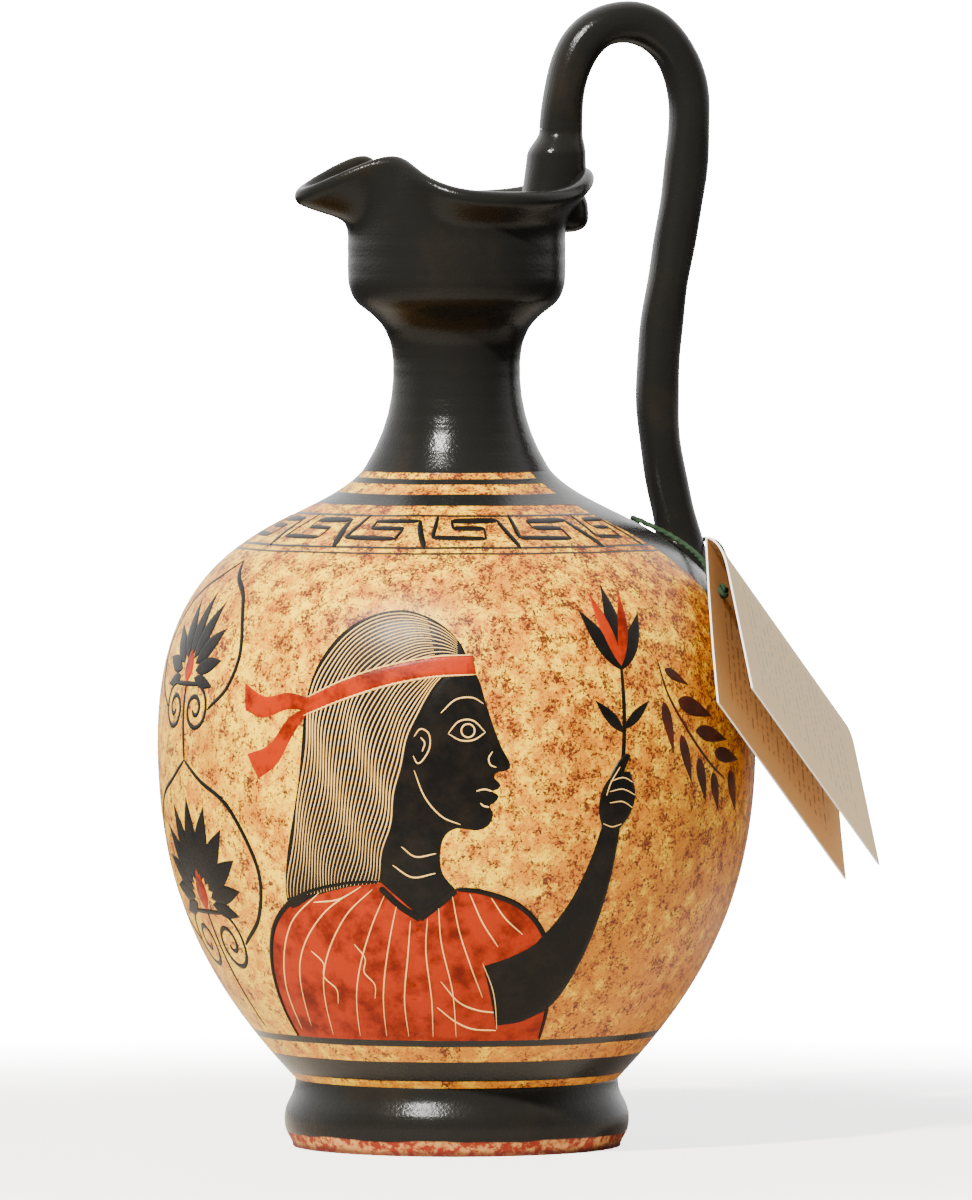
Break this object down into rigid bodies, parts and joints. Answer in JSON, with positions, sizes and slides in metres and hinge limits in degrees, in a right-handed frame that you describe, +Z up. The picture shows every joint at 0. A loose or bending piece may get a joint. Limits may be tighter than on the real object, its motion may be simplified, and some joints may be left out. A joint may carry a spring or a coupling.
{
  "type": "pouring jug vase",
  "caption": "Wheel-made pouring jug with a pinched mouth, a high looped handle, black slip, a painted belly and a folded card tag on a cord.",
  "frame": {"origin": "centre of the flat face that the foot stands on", "axes": "+Z up along the turning axis, +X towards the handle, -X towards the spout"},
  "size_m": [0.177, 0.1468, 0.2804],
  "materials": {
    "black_slip": "glossy black slip with thin brown spots and broken highlights",
    "painted_clay": "satin sponge-mottled cream and orange clay with painted bands",
    "green_cord": "matt twisted cord",
    "card": "matt card with white cut edges"
  },
  "bodies": {
    "jug": {"foot": "black_slip", "body": "painted_clay", "neck": "black_slip", "mouth": "black_slip", "handle": "black_slip", "handle_lip_saddle": "black_slip", "handle_lip_lug": "black_slip", "handle_root_pad": "black_slip", "tag_cord": "green_cord"},
    "tag_knot": {"tag_knot": "green_cord"},
    "tag_inner_leaf": {"tag_inner_leaf": "card"},
    "tag_outer_leaf": {"tag_outer_leaf": "card"}
  },
  "joints": [
    {"name": "tag_lift", "type": "hinge", "parent": "jug", "child": "tag_knot", "pos_m": [0.05508, -0.03301, 0.14572], "axis": [-0.5417, -0.8406, 0], "range_deg": [0, 60]},
    {"name": "tag_swing", "type": "hinge", "parent": "tag_knot", "child": "tag_inner_leaf", "pos_m": [0.05605, -0.03766, 0.13639], "axis": [0.8108, -0.5225, 0.2639], "range_deg": [-20, 20]},
    {"name": "tag_fold", "type": "hinge", "parent": "tag_inner_leaf", "child": "tag_outer_leaf", "pos_m": [0.05388, -0.03472, 0.1498], "axis": [-0.5696, -0.6003, 0.5615], "range_deg": [0, 100]}
  ]
}
